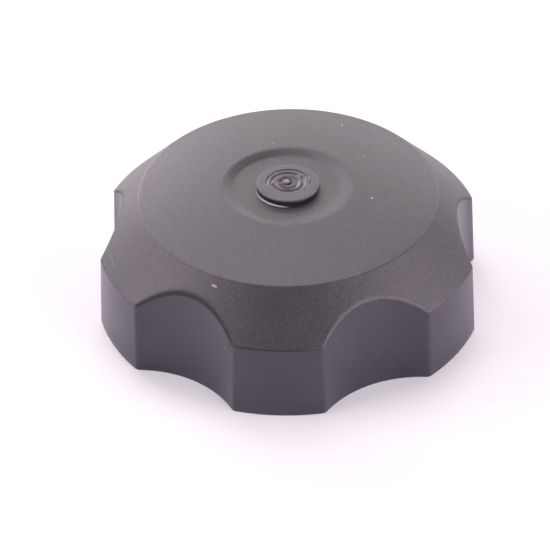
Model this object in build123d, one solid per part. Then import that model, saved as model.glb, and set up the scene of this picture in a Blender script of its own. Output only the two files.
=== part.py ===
from build123d import *
from math import cos, hypot, radians, sin, sqrt, tan
import os

os.makedirs("parts", exist_ok=True)

# Screw-on fuel filler cap for a small tank neck, standing on its rim.
# The origin is the centre of the rim's resting plane, and +Z runs up the cap's axis.
# Lengths are in millimetres and angles in degrees.

# ---- Cap shell, outside ----
lobe_count = 6
skirt_draft = 3.1
shoulder_height = 15.0
cone_height = 8.4
crown_margin = 0.9
crown_rise = 2.3
dish_radius = 12.6
dish_slope_width = 2.4
dish_depth = 0.5
scallop_depth = 4.75
scallop_radius = 21.05
scallop_draft = 2.55
corner_round = 0.7
shoulder_round = 0.6
crown_round = 0.6
dish_round = 5.0
rim_round = 0.35

# ---- Cap shell, inside ----
wall = 2.6
lobe_pocket_width = 7.5
rib_thickness = 1.6
rib_recess = 2.0
collar_recess = 1.5
collar_wall = 3.1
bearing_rib_drop = 0.4
bearing_rib_width = 2.6
boss_wall = 3.1
pad_wall = 1.3
pad_height = 0.25
vent_notch_width = 1.2
vent_notch_depth = 0.6
vent_ring_chamfer = 0.45

# ---- Neck thread ----
thread_crest_radius = 23.4
thread_depth = 1.4
thread_pitch = 4.0
thread_groove_mouth = 1.8
thread_groove_floor = 0.8
thread_lead_in = 0.8
gasket_recess_step = 0.2

# ---- Clearances ----
running_clearance = 0.08
running_gap = 0.05
assembly_clearance = 0.5
loose_clearance = 0.2
slip_clearance = 0.05
gasket_side_clearance = 0.3
thread_end_clearance = 0.3

# ---- Centre rivet, washer and disc spring ----
rivet_stem_radius = 3.2
rivet_head_overhang = 2.85
rivet_head_thickness = 0.9
rivet_head_round = 0.35
rivet_head_undercut = 0.25
rivet_groove_count = 4
rivet_groove_spacing = 1.1
rivet_groove_width = 0.36
rivet_groove_depth = 0.18
rivet_pip_radius = 0.8
rivet_foot_overhang = 1.8
rivet_foot_thickness = 1.4
rivet_core_radius = 1.2
rivet_flute_count = 3
rivet_flute_radius = 0.7
washer_overhang = 2.0
washer_thickness = 0.5
spring_overhang = 2.8
spring_thickness = 0.35
spring_height = 0.8

# ---- Slip disc, seal carrier, gasket and retainer plate ----
slip_disc_thickness = 0.55
slip_disc_width = 3.7
flange_thickness = 1.8
neck_wall_room = 3.7
carrier_wall_thickness = 2.0
hub_land = 1.2
gasket_thickness = 2.5
gasket_step = 0.5
gasket_edge_round = 0.3
retainer_thickness = 1.5
retainer_lip = 0.9
retainer_edge = 0.3
vent_radius = 0.8
vent_spread = 30.0

# ---- Plate screws ----
screw_count = 3
screw_first_angle = 30.0
screw_shank_radius = 1.1
screw_head_radius = 2.0
screw_head_height = 1.0
screw_head_round = 0.35
screw_end_cover = 0.8
screw_boss_wall = 1.1
screw_point_length = 0.6
drive_slot_length = 2.2
drive_slot_width = 0.5
drive_slot_depth = 0.6

# ---- Roll-over valve ----
ball_radius = 1.6
ball_side_clearance = 0.4
ball_travel = 0.8
ball_stop_gap = 0.02
valve_wall = 1.1
valve_head_room = 0.4
valve_flange_thickness = 1.0
valve_flange_overhang = 1.3
valve_shelf = 0.6
valve_port_radius = 1.0
valve_seat_thickness = 0.6
valve_cover_thickness = 0.8
cover_hole_radius = 0.4
cover_hole_circle_radius = 1.2
cover_hole_count = 4

# ---- Worked-out levels, from the top of the cap down ----
overrun = 1.0
thread_root_radius = thread_crest_radius + thread_depth
collar_radius = thread_root_radius + collar_wall
rim_radius = collar_radius + lobe_pocket_width + wall
shoulder_radius = rim_radius - shoulder_height * tan(radians(skirt_draft))
crown_radius = collar_radius + crown_margin
crown_z = shoulder_height + cone_height
dome_radius = (crown_radius**2 + crown_rise**2) / (2 * crown_rise)
dish_floor_radius = dish_radius - dish_slope_width


# Height of the domed top at a distance from the axis
def dome_z(radius):
    return crown_z + crown_rise - dome_radius + sqrt(dome_radius**2 - radius**2)


dish_floor_z = dome_z(dish_radius) - dish_depth
pad_z = dish_floor_z + pad_height
rivet_head_low = pad_z + running_gap
rivet_head_high = rivet_head_low + rivet_head_thickness
bearing_z = crown_z - wall - bearing_rib_drop
slip_disc_high = bearing_z - running_gap
flange_high = slip_disc_high - slip_disc_thickness
flange_low = flange_high - flange_thickness
boss_low = flange_high + spring_height + running_gap
retainer_high = flange_low - gasket_thickness + gasket_step
retainer_low = retainer_high - retainer_thickness
gasket_face_z = flange_low - gasket_thickness
foot_high = retainer_high - washer_thickness
foot_low = foot_high - rivet_foot_thickness
screw_head_low = retainer_low - screw_head_height
screw_tip_z = flange_high - screw_end_cover
valve_high = flange_low - valve_head_room
valve_seat_low = valve_high - valve_seat_thickness
seat_contact_rise = sqrt(ball_radius**2 - valve_port_radius**2)
ball_rest_z = valve_seat_low - ball_stop_gap - seat_contact_rise - ball_travel
valve_cover_high = ball_rest_z - ball_radius
valve_low = valve_cover_high - valve_cover_thickness
thread_top = min(valve_low, foot_low, screw_head_low) - thread_end_clearance

# ---- Worked-out radii ----
gasket_recess_radius = thread_root_radius + gasket_recess_step
stem_hole_radius = rivet_stem_radius + running_clearance
boss_radius = stem_hole_radius + boss_wall
pad_radius = stem_hole_radius + pad_wall
rivet_head_radius = rivet_stem_radius + rivet_head_overhang
rivet_foot_radius = rivet_stem_radius + rivet_foot_overhang
washer_radius = rivet_stem_radius + washer_overhang
hub_radius = washer_radius + hub_land
spring_hole_radius = rivet_stem_radius + loose_clearance
flange_radius = thread_crest_radius - assembly_clearance
retainer_radius = thread_crest_radius - neck_wall_room
carrier_wall_radius = retainer_radius - retainer_lip
chamber_radius = carrier_wall_radius - carrier_wall_thickness
fitting_circle_radius = (hub_radius + chamber_radius) / 2
screw_boss_radius = screw_shank_radius + screw_boss_wall
ball_bore_radius = ball_radius + ball_side_clearance
valve_pocket_radius = ball_bore_radius + valve_shelf
valve_barrel_radius = valve_pocket_radius + valve_wall


# ---- Shapes that several pieces share ----
def tube(outer, inner, low, high):
    length = high - low
    base = (Align.CENTER, Align.CENTER, Align.MIN)
    body = Cylinder(outer, length, align=base)
    if inner > 0:
        body -= Cylinder(inner, length, align=base)
    return Pos(0, 0, low) * body


# A solid turned about the Z axis from a section of (radius, height) points
def turned(points):
    return revolve(Plane.XZ * make_face(Polyline(*points, close=True)), Axis.Z)


def around(angle, radius, shape):
    x = radius * cos(radians(angle))
    y = radius * sin(radians(angle))
    return Pos(x, y, 0) * shape


def even_angles(count, first=0.0):
    return [first + 360 / count * step for step in range(count)]


lobe_angles = even_angles(lobe_count, -90.0)
scallop_angles = even_angles(lobe_count, -90.0 + 180 / lobe_count)
screw_angles = even_angles(screw_count, screw_first_angle)
valve_angle, *vent_middles = even_angles(screw_count, screw_first_angle + 180 / screw_count)
vent_angles = [middle + side * vent_spread / 2 for middle in vent_middles for side in (-1, 1)]
flute_angles = even_angles(rivet_flute_count)


# Radial bars from the axis outward, for notches and ribs
def radial_bars(angles, width, inner, outer, low, high):
    bar = Box(outer - inner, width, high - low, align=(Align.MIN, Align.CENTER, Align.MIN))
    bars = [Rot(0, 0, angle) * Pos(inner, 0, low) * bar for angle in angles]
    return Compound(children=bars)


# ---- Cap shell ----
scallop_centre_radius = rim_radius - scallop_depth + scallop_radius


def scallop_radius_at(height):
    return scallop_radius + height * tan(radians(scallop_draft))


# Tapered cutters that hollow the skirt between the lobes, grown by a wall for the inside
def scallop_cutters(extra):
    low = -overrun
    high = crown_z + crown_rise + overrun
    taper = Cone(
        scallop_radius_at(low) - extra,
        scallop_radius_at(high) - extra,
        high - low,
        align=(Align.CENTER, Align.CENTER, Align.MIN),
    )
    return [around(angle, scallop_centre_radius, Pos(0, 0, low) * taper) for angle in scallop_angles]


# Half section of the turned blank, from the axis out to the skirt and back over the top
def cap_section(skirt_start_z):
    start_radius = rim_radius - skirt_start_z * tan(radians(skirt_draft))
    arc_middle = (crown_radius + dish_radius) / 2
    lower = Polyline(
        (0, dish_floor_z),
        (0, skirt_start_z),
        (start_radius, skirt_start_z),
        (shoulder_radius, shoulder_height),
        (crown_radius, crown_z),
    )
    dome = ThreePointArc(
        (crown_radius, crown_z),
        (arc_middle, dome_z(arc_middle)),
        (dish_radius, dome_z(dish_radius)),
    )
    dish = Polyline(
        (dish_radius, dome_z(dish_radius)),
        (dish_floor_radius, dish_floor_z),
        (0, dish_floor_z),
    )
    return make_face(lower.edges() + dome.edges() + dish.edges())


def round_section_corner(section, radius, height, size):
    corner = section.vertices().sort_by_distance(Vector(radius, height, 0))[0]
    return fillet(corner, size)


# True for an edge on a scallop's wall that isn't part of the rim
def on_scallop_edge(edge):
    middle = edge @ 0.5
    near = 1e-3
    if middle.Z < near:
        return False
    wanted = scallop_radius_at(middle.Z)
    for angle in scallop_angles:
        x = scallop_centre_radius * cos(radians(angle))
        y = scallop_centre_radius * sin(radians(angle))
        if abs(hypot(middle.X - x, middle.Y - y) - wanted) < near:
            return True
    return False


def shell_outside():
    section = cap_section(0)
    section = round_section_corner(section, shoulder_radius, shoulder_height, shoulder_round)
    section = round_section_corner(section, crown_radius, crown_z, crown_round)
    section = round_section_corner(section, dish_radius, dome_z(dish_radius), dish_round)
    section = round_section_corner(section, dish_floor_radius, dish_floor_z, dish_round)
    body = revolve(Plane.XZ * section, Axis.Z)
    for cutter in scallop_cutters(0):
        body -= cutter
    body = fillet(body.edges().filter_by(on_scallop_edge), corner_round)
    return fillet(body.edges().group_by(Axis.Z)[0], rim_round)


# The space inside the shell, one wall in from the outside and open at the rim
def shell_cavity():
    half = cap_section(-overrun - wall)
    whole = half + mirror(half, Plane.YZ)
    inner = offset(whole, amount=-wall, kind=Kind.INTERSECTION)
    reach = rim_radius + crown_z
    right_side = Pos(reach, 0) * Rectangle(2 * reach, 4 * reach)
    space = revolve(Plane.XZ * (inner & right_side), Axis.Z)
    for cutter in scallop_cutters(-wall):
        space -= cutter
    return space


# Tapered helical groove that leaves the neck thread standing on the collar's wall
def thread_groove():
    start = collar_recess - thread_pitch
    path = Helix(
        pitch=thread_pitch,
        height=thread_top + thread_pitch - start,
        radius=thread_crest_radius,
        center=(0, 0, start),
    )
    half_mouth = thread_groove_mouth / 2
    half_floor = thread_groove_floor / 2
    flare = half_mouth + (half_mouth - half_floor) * overrun / thread_depth
    points = [
        (-overrun, flare),
        (thread_depth, half_floor),
        (thread_depth, -half_floor),
        (-overrun, -flare),
    ]
    section_plane = Plane(origin=path @ 0, x_dir=(1, 0, 0), z_dir=(0, -1, 0))
    section = section_plane * make_face(Polyline(*points, close=True))
    groove = sweep(section, path=path, is_frenet=True)
    return groove & tube(collar_radius, 0, collar_recess - overrun, thread_top + overrun)


def neck_collar():
    top = crown_z + crown_rise
    collar = tube(collar_radius, thread_crest_radius, collar_recess, thread_top)
    collar += tube(collar_radius, gasket_recess_radius, thread_top, top)
    lead_in = turned([
        (0, collar_recess),
        (thread_crest_radius + thread_lead_in, collar_recess),
        (thread_crest_radius, collar_recess + thread_lead_in),
        (0, collar_recess + thread_lead_in),
    ])
    return collar - lead_in - thread_groove()


def cap_shell():
    top = crown_z + crown_rise
    bearing_outer = flange_radius - assembly_clearance
    fittings = neck_collar()
    fittings += tube(bearing_outer, bearing_outer - bearing_rib_width, bearing_z, top)
    fittings += tube(boss_radius, 0, boss_low, top)
    fittings += radial_bars(
        lobe_angles, rib_thickness, collar_radius - collar_wall / 2, rim_radius, rib_recess, top
    )
    outside = shell_outside()
    shell = outside - shell_cavity() + (fittings & outside)
    shell += tube(pad_radius, 0, dish_floor_z - pad_height, pad_z)
    stem_hole = tube(stem_hole_radius, 0, boss_low - overrun, pad_z + overrun)
    vent_ring = turned([
        (0, pad_z),
        (stem_hole_radius + vent_ring_chamfer, pad_z),
        (stem_hole_radius, pad_z - vent_ring_chamfer),
        (0, pad_z - vent_ring_chamfer),
    ])
    pad_notches = radial_bars(
        flute_angles, vent_notch_width, 0, pad_radius + slip_clearance, dish_floor_z, pad_z + overrun
    )
    boss_notches = radial_bars(
        flute_angles, vent_notch_width, 0, boss_radius + overrun, boss_low - overrun,
        boss_low + vent_notch_depth,
    )
    return shell - stem_hole - vent_ring - pad_notches - boss_notches


# ---- Centre rivet, its washer and the disc spring ----
def centre_rivet():
    stem = tube(rivet_stem_radius, 0, foot_low, rivet_head_low)
    for angle in flute_angles:
        flute = tube(rivet_flute_radius, 0, flange_high, rivet_head_low)
        stem -= around(angle, rivet_stem_radius, flute)
    head = turned([
        (0, rivet_head_low),
        (pad_radius, rivet_head_low),
        (rivet_head_radius, rivet_head_low + rivet_head_undercut),
        (rivet_head_radius, rivet_head_high),
        (0, rivet_head_high),
    ])
    head = fillet(head.edges().group_by(Axis.Z)[-1], rivet_head_round)
    for step in range(rivet_groove_count):
        inner = rivet_pip_radius + rivet_groove_spacing * step
        head -= tube(
            inner + rivet_groove_width,
            inner,
            rivet_head_high - rivet_groove_depth,
            rivet_head_high + overrun,
        )
    foot = tube(rivet_foot_radius, 0, foot_low, foot_high)
    core = tube(rivet_core_radius, 0, foot_low - overrun, flange_high)
    return stem + head + foot - core


def rivet_washer():
    return tube(washer_radius, rivet_stem_radius + slip_clearance, foot_high, retainer_high)


def disc_spring():
    outer = rivet_stem_radius + spring_overhang
    return turned([
        (outer, flange_high),
        (outer, flange_high + spring_thickness),
        (spring_hole_radius, flange_high + spring_height),
        (spring_hole_radius, flange_high + spring_height - spring_thickness),
    ])


# ---- Slip disc, seal carrier, gasket, foam and retainer plate ----
def slip_disc():
    return tube(flange_radius, flange_radius - slip_disc_width, flange_high, slip_disc_high)


def seal_carrier():
    carrier = tube(flange_radius, 0, flange_low, flange_high)
    carrier += tube(carrier_wall_radius, chamber_radius, retainer_high, flange_low)
    carrier += tube(hub_radius, 0, retainer_high, flange_low)
    boss = tube(screw_boss_radius, 0, retainer_high, flange_low)
    pilot = tube(screw_shank_radius + slip_clearance, 0, retainer_high, screw_tip_z + slip_clearance)
    for angle in screw_angles:
        carrier += around(angle, fitting_circle_radius, boss)
        carrier -= around(angle, fitting_circle_radius, pilot)
    vent = tube(vent_radius, 0, flange_low, flange_high)
    for angle in vent_angles:
        carrier -= around(angle, fitting_circle_radius, vent)
    return carrier - tube(rivet_stem_radius, 0, retainer_high, flange_high)


# The inner band is clamped under the plate and the deeper outer band seals on the neck
def neck_gasket():
    outer = gasket_recess_radius - gasket_side_clearance
    inner = carrier_wall_radius + slip_clearance
    step_radius = retainer_radius + loose_clearance
    gasket = turned([
        (inner, retainer_high),
        (step_radius, retainer_high),
        (step_radius, gasket_face_z),
        (outer, gasket_face_z),
        (outer, flange_low),
        (inner, flange_low),
    ])
    outer_edges = gasket.edges().filter_by(GeomType.CIRCLE).group_by(SortBy.RADIUS)[-1]
    return fillet(outer_edges, gasket_edge_round)


def breather_foam():
    foam = tube(
        chamber_radius - loose_clearance, hub_radius + loose_clearance, retainer_high, flange_low
    )
    boss_hole = tube(screw_boss_radius + loose_clearance, 0, retainer_high, flange_low)
    for angle in screw_angles:
        foam -= around(angle, fitting_circle_radius, boss_hole)
    valve_hole = tube(valve_barrel_radius + loose_clearance, 0, retainer_high, flange_low)
    return foam - around(valve_angle, fitting_circle_radius, valve_hole)


def retainer_plate():
    plate = tube(
        retainer_radius, washer_radius + gasket_side_clearance, retainer_low, retainer_high
    )
    lower_rim = plate.edges().group_by(Axis.Z)[0].sort_by(SortBy.RADIUS)[-1]
    plate = chamfer(lower_rim, retainer_edge)
    screw_hole = tube(screw_shank_radius + loose_clearance, 0, retainer_low, retainer_high)
    for angle in screw_angles:
        plate -= around(angle, fitting_circle_radius, screw_hole)
    valve_hole = tube(valve_barrel_radius + slip_clearance, 0, retainer_low, retainer_high)
    return plate - around(valve_angle, fitting_circle_radius, valve_hole)


# ---- Plate screws: pan head with a cross recess, below the plate and pointing up ----
def plate_screw():
    head = tube(screw_head_radius, 0, screw_head_low, retainer_low)
    head = fillet(head.edges().group_by(Axis.Z)[0], screw_head_round)
    shank_end = screw_tip_z - screw_point_length
    shank = turned([
        (0, retainer_low),
        (screw_shank_radius, retainer_low),
        (screw_shank_radius, shank_end),
        (0, screw_tip_z),
    ])
    slot = radial_bars(
        even_angles(4), drive_slot_width, 0, drive_slot_length / 2,
        screw_head_low - overrun, screw_head_low + drive_slot_depth,
    )
    return head + shank - slot


# ---- Roll-over valve: the ball shuts the seat's port when the tank tips over ----
def valve_housing():
    barrel = tube(valve_barrel_radius, ball_bore_radius, valve_low, valve_high)
    barrel += tube(
        valve_barrel_radius + valve_flange_overhang,
        ball_bore_radius,
        retainer_low - valve_flange_thickness,
        retainer_low,
    )
    barrel -= tube(valve_pocket_radius, 0, valve_low, valve_cover_high)
    return barrel - tube(valve_pocket_radius, 0, valve_seat_low, valve_high)


def valve_seat():
    return tube(valve_pocket_radius, valve_port_radius, valve_seat_low, valve_high)


def valve_cover():
    cover = tube(valve_pocket_radius, 0, valve_low, valve_cover_high)
    hole = tube(cover_hole_radius, 0, valve_low, valve_cover_high)
    for angle in even_angles(cover_hole_count):
        cover -= around(angle, cover_hole_circle_radius, hole)
    return cover


def rollover_ball():
    return Pos(0, 0, ball_rest_z) * Sphere(ball_radius)


# ---- Every piece in its place ----
pieces = {
    "cap_shell": cap_shell(),
    "centre_rivet": centre_rivet(),
    "rivet_washer": rivet_washer(),
    "disc_spring": disc_spring(),
    "slip_disc": slip_disc(),
    "seal_carrier": seal_carrier(),
    "neck_gasket": neck_gasket(),
    "breather_foam": breather_foam(),
    "retainer_plate": retainer_plate(),
}
for number, angle in enumerate(screw_angles, start=1):
    pieces[f"plate_screw_{number}"] = around(angle, fitting_circle_radius, plate_screw())
valve_pieces = {
    "valve_housing": valve_housing(),
    "valve_seat": valve_seat(),
    "valve_cover": valve_cover(),
    "rollover_ball": rollover_ball(),
}
for name, piece in valve_pieces.items():
    pieces[name] = around(valve_angle, fitting_circle_radius, piece)

for name, piece in pieces.items():
    piece.label = name
    export_step(piece, f"parts/{name}.step")
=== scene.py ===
import math

import bmesh
import bpy
import numpy as np
from mathutils import Matrix, Vector


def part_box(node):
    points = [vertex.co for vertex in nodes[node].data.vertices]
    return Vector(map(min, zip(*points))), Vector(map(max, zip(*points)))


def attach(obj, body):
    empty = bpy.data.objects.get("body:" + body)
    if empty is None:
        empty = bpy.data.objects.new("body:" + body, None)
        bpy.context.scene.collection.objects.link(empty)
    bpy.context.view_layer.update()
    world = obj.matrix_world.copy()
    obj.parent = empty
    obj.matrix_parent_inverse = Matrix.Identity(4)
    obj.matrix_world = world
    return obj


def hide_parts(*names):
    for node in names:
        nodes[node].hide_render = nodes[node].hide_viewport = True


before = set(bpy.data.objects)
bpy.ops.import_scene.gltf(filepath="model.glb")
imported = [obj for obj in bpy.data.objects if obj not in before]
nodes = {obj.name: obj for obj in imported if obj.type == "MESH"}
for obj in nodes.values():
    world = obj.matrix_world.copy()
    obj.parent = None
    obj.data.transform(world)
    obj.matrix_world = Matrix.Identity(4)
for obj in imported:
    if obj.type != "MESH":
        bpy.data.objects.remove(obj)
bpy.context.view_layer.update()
mm = 0.001
fullTurn = 2 * math.pi

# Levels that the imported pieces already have, in millimetres
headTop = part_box("centre_rivet")[1].z / mm
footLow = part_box("centre_rivet")[0].z / mm
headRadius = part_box("centre_rivet")[1].x / mm
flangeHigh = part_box("seal_carrier")[1].z / mm


# Straight runs joined by arcs. Each corner is (radius, height, round), and an arc leaves a run
# where the round touches it: round / tan(half the corner's angle) away from the corner.
def roundedPath(corners, arcSteps=6):
    corners = np.array(corners, float)
    points = [corners[:1, :2]]
    for before, corner, after in zip(corners[:-2], corners[1:-1], corners[2:]):
        middle, size = corner[:2], corner[2]
        if size == 0:
            points.append(middle[None])
            continue
        toBefore = (before[:2] - middle) / np.linalg.norm(before[:2] - middle)
        toAfter = (after[:2] - middle) / np.linalg.norm(after[:2] - middle)
        half = math.acos(np.clip(toBefore @ toAfter, -1, 1)) / 2
        centre = middle + (toBefore + toAfter) / np.linalg.norm(toBefore + toAfter) * size / math.sin(half)
        first = middle + toBefore * size / math.tan(half) - centre
        last = middle + toAfter * size / math.tan(half) - centre
        turn = math.pi - 2 * half
        share = np.linspace(0, 1, arcSteps + 1)[:, None]
        arc = (np.sin((1 - share) * turn) * first + np.sin(share * turn) * last) / math.sin(turn)
        points.append(centre + arc)
    points.append(corners[-1:, :2])
    return np.concatenate(points)


# Adds points along the straight runs: even steps, and one point close to each end of a run,
# so that a flat face stays flat beside a round
def filledPath(path, spacing, support=0.2):
    parts = []
    for start, end in zip(path[:-1], path[1:]):
        length = np.linalg.norm(end - start)
        shares = np.arange(0, 1, 1 / max(1, math.ceil(length / spacing)))
        if length > 3 * support:
            edges = np.array([support, length - support]) / length
            shares = np.unique(np.concatenate([shares, edges]))
        parts.append(start + shares[:, None] * (end - start))
    parts.append(path[-1:])
    return np.concatenate(parts)


# The smaller of two values, eased by a parabola where they come within blend of each other
def softMin(first, second, blend):
    share = np.clip(1 - np.abs(first - second) / blend, 0, 1)
    return np.minimum(first, second) - share * share * blend / 4


# 0 below low, 1 above high, and a smooth S between them
def easeBetween(value, low, high):
    share = np.clip((value - low) / (high - low), 0, 1)
    return share * share * (3 - 2 * share)


def evenAngles(count, first=0.0):
    return [first + 360 / count * step for step in range(count)]


# Points from radius, angle and height grids
def polarPoints(radius, angle, height):
    radius, angle, height = np.broadcast_arrays(radius, angle, height)
    return np.stack([radius * np.cos(angle), radius * np.sin(angle), height], axis=-1)


# Quads between neighbouring rows of indices whose columns close round the axis
def ringQuads(upper, lower):
    corners = [upper, lower, np.roll(lower, -1, -1), np.roll(upper, -1, -1)]
    return np.stack(corners, axis=-1).reshape(-1, 4)


# Joins a row to one with twice as many columns: each coarse edge meets two fine ones
def halvingFaces(coarse, fine):
    even, odd = fine[0::2], fine[1::2]
    return np.stack([coarse, even, odd, np.roll(even, -1), np.roll(coarse, -1)], axis=-1)


# Volume inside the faces by the divergence theorem, from each face's fan of triangles
def insideVolume(points, faces):
    total = 0.0
    for group in faces:
        for step in range(1, group.shape[1] - 1):
            a, b, c = points[group[:, 0]], points[group[:, step]], points[group[:, step + 1]]
            total += np.einsum("ij,ij->", a, np.cross(b, c)) / 6
    return total


# Makes a smooth object from points in millimetres, with the finish of its slot, and turns its faces outward
def makePiece(name, points, faces, body, slot, **tones):
    points = points.reshape(-1, 3) * mm
    if insideVolume(points, faces) < 0:
        faces = [group[:, ::-1] for group in faces]
    mesh = bpy.data.meshes.new(name)
    mesh.from_pydata(points.tolist(), [], [face for group in faces for face in group.tolist()])
    mesh.polygons.foreach_set("use_smooth", np.ones(len(mesh.polygons), bool))
    mesh.materials.append(finishes[slot])
    for label, values in tones.items():
        tone = mesh.attributes.new(label, "FLOAT", "POINT")
        tone.data.foreach_set("value", values.reshape(-1).astype(np.float32))
    mesh.update()
    piece = bpy.data.objects.new(name, mesh)
    bpy.context.scene.collection.objects.link(piece)
    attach(piece, body)
    return piece


# A closed loop of rows round the axis: quads from each row to the next, and from the last to the first
def loopFaces(rows, columns, start=0):
    index = start + np.arange(rows * columns).reshape(rows, columns)
    return ringQuads(index, np.roll(index, -1, axis=0))


# A turned solid with a pole at each end: rows of quads and two fans of triangles
def poledGrid(grid):
    rows, columns, _ = grid.shape
    index = np.arange(rows * columns).reshape(rows, columns)
    quads = ringQuads(index[:-1], index[1:])
    first, last = rows * columns, rows * columns + 1
    poles = np.array([[0, 0, grid[0, :, 2].mean()], [0, 0, grid[-1, :, 2].mean()]])
    top = np.stack([np.full(columns, first), index[0], np.roll(index[0], -1)], axis=-1)
    bottom = np.stack([np.full(columns, last), np.roll(index[-1], -1), index[-1]], axis=-1)
    return np.concatenate([grid.reshape(-1, 3), poles]), [quads, top, bottom]


# Shader parts that several finishes share
def link(tree, output, target):
    tree.links.new(output, target)


def node(tree, kind, **settings):
    made = tree.nodes.new(kind)
    for key, value in settings.items():
        if key in made.inputs:
            made.inputs[key].default_value = value
        else:
            setattr(made, key, value)
    return made


# One arithmetic step. Each value is a number or another node's output
def maths(tree, operation, *values):
    step = node(tree, "ShaderNodeMath", operation=operation)
    for socket, value in zip(step.inputs, values):
        if isinstance(value, (int, float)):
            socket.default_value = value
        else:
            link(tree, value, socket)
    return step.outputs[0]


def vectorMaths(tree, operation, *values):
    step = node(tree, "ShaderNodeVectorMath", operation=operation)
    for socket, value in zip(step.inputs, values):
        if isinstance(value, (tuple, list)):
            socket.default_value = value
        else:
            link(tree, value, socket)
    return step.outputs["Value" if operation in ("DOT_PRODUCT", "LENGTH", "DISTANCE") else "Vector"]


def smoothStep(tree, value, low, high, fromValue=0.0, toValue=1.0):
    step = node(tree, "ShaderNodeMapRange", interpolation_type="SMOOTHSTEP")
    link(tree, value, step.inputs["Value"])
    for key, number in (("From Min", low), ("From Max", high), ("To Min", fromValue), ("To Max", toValue)):
        if isinstance(number, (int, float)):
            step.inputs[key].default_value = number
        else:
            link(tree, number, step.inputs[key])
    return step.outputs["Result"]


def mixColours(tree, share, first, second):
    step = node(tree, "ShaderNodeMix", data_type="RGBA")
    for socket, value in ((step.inputs[0], share), (step.inputs[6], first), (step.inputs[7], second)):
        if isinstance(value, (tuple, list)):
            socket.default_value = (*value, 1.0)
        elif isinstance(value, (int, float)):
            socket.default_value = value
        else:
            link(tree, value, socket)
    return step.outputs[2]


# Where a point of the surface is, in the piece's own coordinates
def surfacePlace(tree):
    return node(tree, "ShaderNodeTexCoord").outputs["Object"]


# A tone that the mesh carries on its points
def meshTone(tree, label):
    return node(tree, "ShaderNodeAttribute", attribute_name=label).outputs["Fac"]


# Noise runs about 0.5, so this turns it into a drift about 0
def aboutZero(tree, value):
    return maths(tree, "SUBTRACT", value, 0.5)


# Sum of values, each times its own weight
def weighted(tree, *pairs):
    total = None
    for value, weight in pairs:
        part = maths(tree, "MULTIPLY", value, weight)
        total = part if total is None else maths(tree, "ADD", total, part)
    return total


# An empty group with named inputs and outputs, ready to be filled
def newGroup(name, inputs, outputs):
    tree = bpy.data.node_groups.new(name, "ShaderNodeTree")
    for label, kind, value in inputs:
        socket = tree.interface.new_socket(label, in_out="INPUT", socket_type=kind)
        socket.default_value = value
    for label, kind in outputs:
        tree.interface.new_socket(label, in_out="OUTPUT", socket_type=kind)
    return tree, tree.nodes.new("NodeGroupInput"), tree.nodes.new("NodeGroupOutput")


floatSocket, vectorSocket = "NodeSocketFloat", "NodeSocketVector"


grainMix = {"pitSize": 2.6, "fineShare": 0.65, "pitShare": 0.35}


# Grain of a spark-eroded or blasted mould. Size is the width of a grain in millimetres.
# Tone is a fine light and dark speckle about 0.5, Cloud a broad drift about 0.5.
def makeGrainGroup():
    tree, given, made = newGroup(
        "mouldGrain",
        [("Size", floatSocket, 0.3), ("Cloud Size", floatSocket, 6.0), ("Contrast", floatSocket, 1.0)],
        [("Tone", floatSocket), ("Cloud", floatSocket), ("Height", floatSocket)],
    )
    place = surfacePlace(tree)

    def noiseAt(size, detail, roughness):
        noise = node(tree, "ShaderNodeTexNoise", Detail=detail, Roughness=roughness)
        link(tree, place, noise.inputs["Vector"])
        link(tree, maths(tree, "DIVIDE", 1 / mm, size), noise.inputs["Scale"])
        return noise.outputs["Fac"]

    fine = noiseAt(given.outputs["Size"], 3.0, 0.65)
    pits = noiseAt(maths(tree, "MULTIPLY", given.outputs["Size"], grainMix["pitSize"]), 2.0, 0.5)
    speckle = weighted(tree, (fine, grainMix["fineShare"]), (pits, grainMix["pitShare"]))
    drift = maths(tree, "MULTIPLY", aboutZero(tree, speckle), given.outputs["Contrast"])
    link(tree, maths(tree, "ADD", drift, 0.5), made.inputs["Tone"])
    link(tree, noiseAt(given.outputs["Cloud Size"], 3.0, 0.55), made.inputs["Cloud"])
    link(tree, speckle, made.inputs["Height"])
    return tree


spotCore = 0.45        # share of the radius that stays full


# A soft spot: 1 at Place, falling to 0 at Radius. Lengths are in metres
def makeSpotGroup():
    tree, given, made = newGroup(
        "markSpot",
        [("Place", vectorSocket, (0, 0, 0)), ("Radius", floatSocket, 0.0003)],
        [("Mask", floatSocket)],
    )
    place = surfacePlace(tree)
    away = vectorMaths(tree, "DISTANCE", place, given.outputs["Place"])
    core = maths(tree, "MULTIPLY", given.outputs["Radius"], spotCore)
    link(tree, smoothStep(tree, away, core, given.outputs["Radius"], 1.0, 0.0), made.inputs["Mask"])
    return tree


scratchBreaks = {"scale": 1800.0, "low": 0.38, "high": 0.55}


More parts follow.
